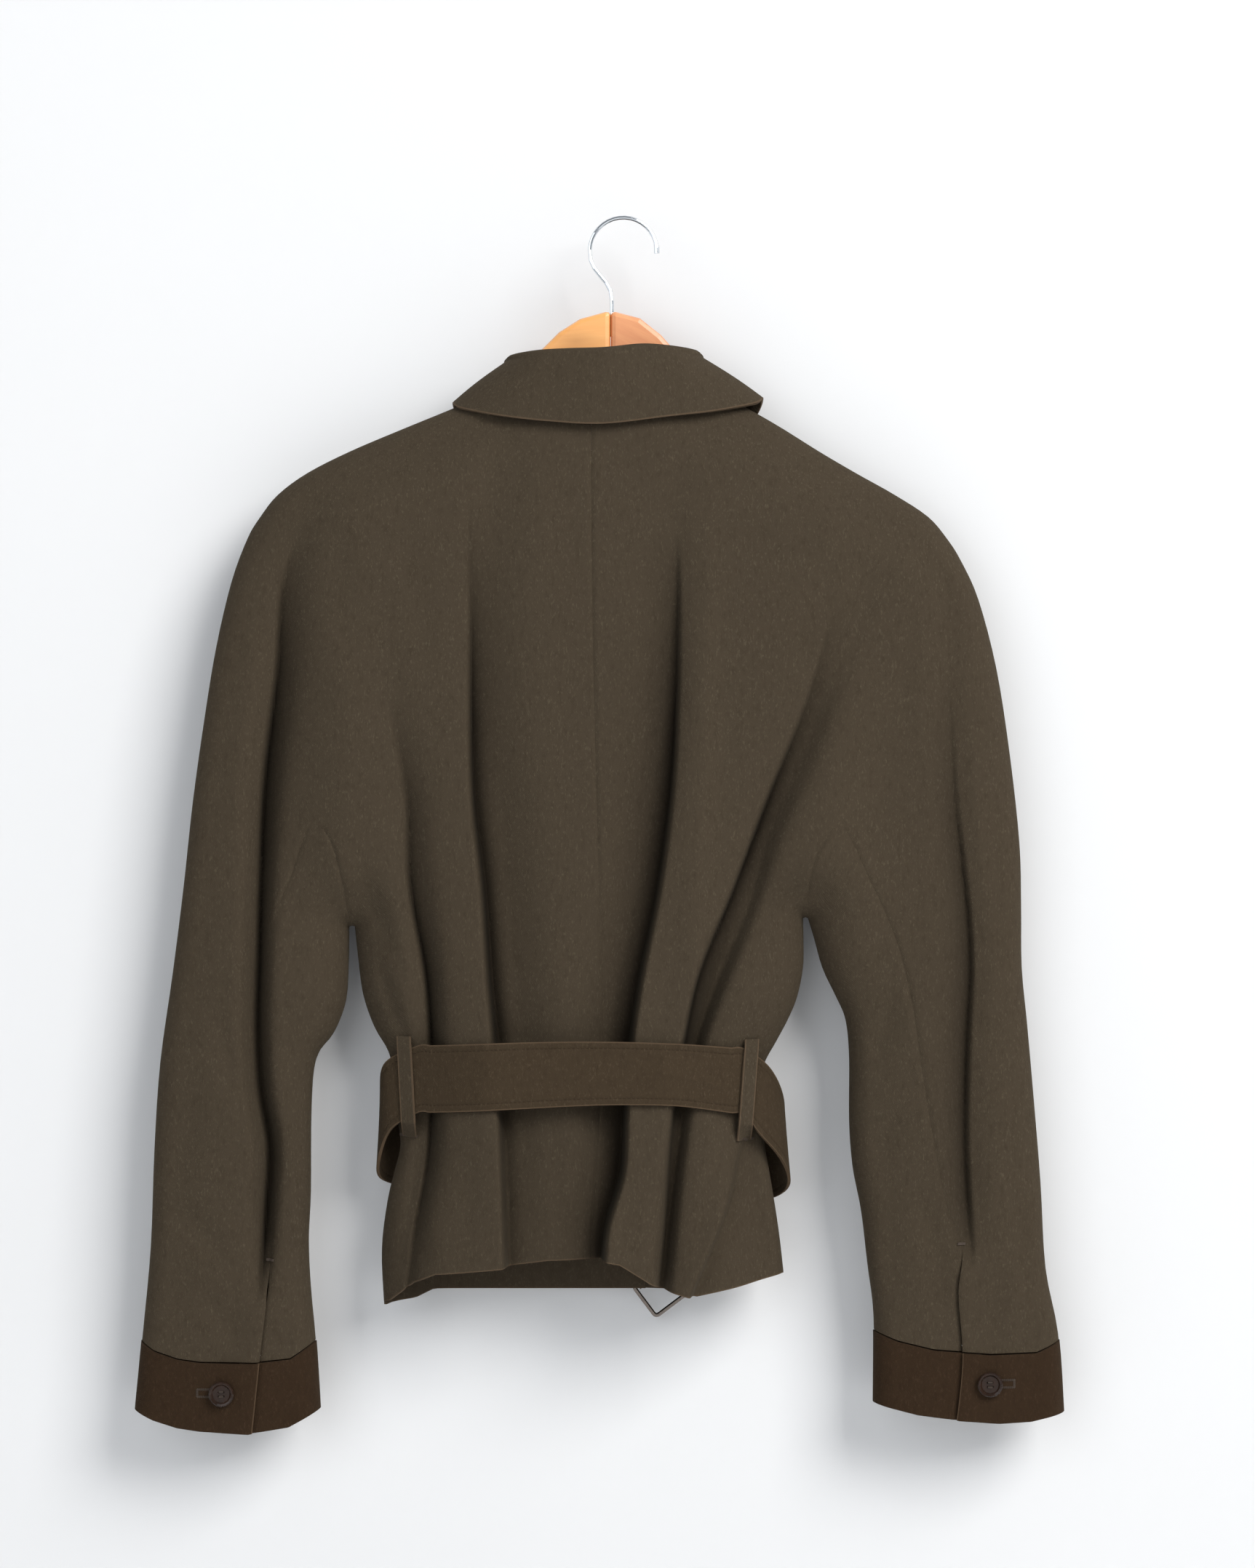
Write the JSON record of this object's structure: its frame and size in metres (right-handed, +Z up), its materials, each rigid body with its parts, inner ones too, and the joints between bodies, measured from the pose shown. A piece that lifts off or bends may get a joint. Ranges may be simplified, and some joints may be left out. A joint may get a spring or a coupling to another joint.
{
  "type": "belted jacket on a hanger",
  "caption": "Brown-grey wool jacket with folded collar, dolman sleeves, buttoned cuffs and a slotted-through belt, hanging on a wooden hanger.",
  "frame": {"origin": "where the inside of the hanger's hook rests on its peg", "axes": "+Z up, -Y out of the jacket's back, +X to the right of someone who looks at the back"},
  "size_m": [0.6648, 0.0927, 0.8688],
  "materials": {
    "wool": "matt fine wool twill, brown-grey, faintly mottled",
    "cuff_wool": "matt fine wool, darker brown",
    "belt_wool": "matt fine wool twill, edge-stitched",
    "horn": "polished dark brown",
    "nickel": "dark polished nickel",
    "pale_wood": "clear satin varnish on pale wood",
    "red_wood": "clear satin varnish on redder wood",
    "steel": "bright wire"
  },
  "bodies": {
    "jacket": {"back_left": "wool", "back_right": "wool", "front_left": "wool", "front_right": "wool", "underarm_left": "wool", "underarm_right": "wool", "collar": "wool", "cuff_left": "cuff_wool", "cuff_right": "cuff_wool", "belt": "belt_wool", "belt_loop_left": "belt_wool", "belt_loop_right": "belt_wool", "cuff_button_left": "horn", "cuff_button_right": "horn", "hanger_left": "pale_wood", "hanger_right": "red_wood", "hanger_hook": "steel"},
    "frame": {"buckle_frame": "nickel"},
    "prong": {"buckle_prong": "nickel"}
  },
  "joints": [
    {"name": "frame_swing", "type": "hinge", "parent": "jacket", "child": "frame", "pos_m": [0.029, 0.033, -0.752], "axis": [0.8, 0, 0.6], "range_deg": [0, 60]},
    {"name": "prong_swing", "type": "hinge", "parent": "frame", "child": "prong", "pos_m": [0.029, 0.033, -0.752], "axis": [0.8, 0, 0.6], "range_deg": [0, 90]}
  ]
}
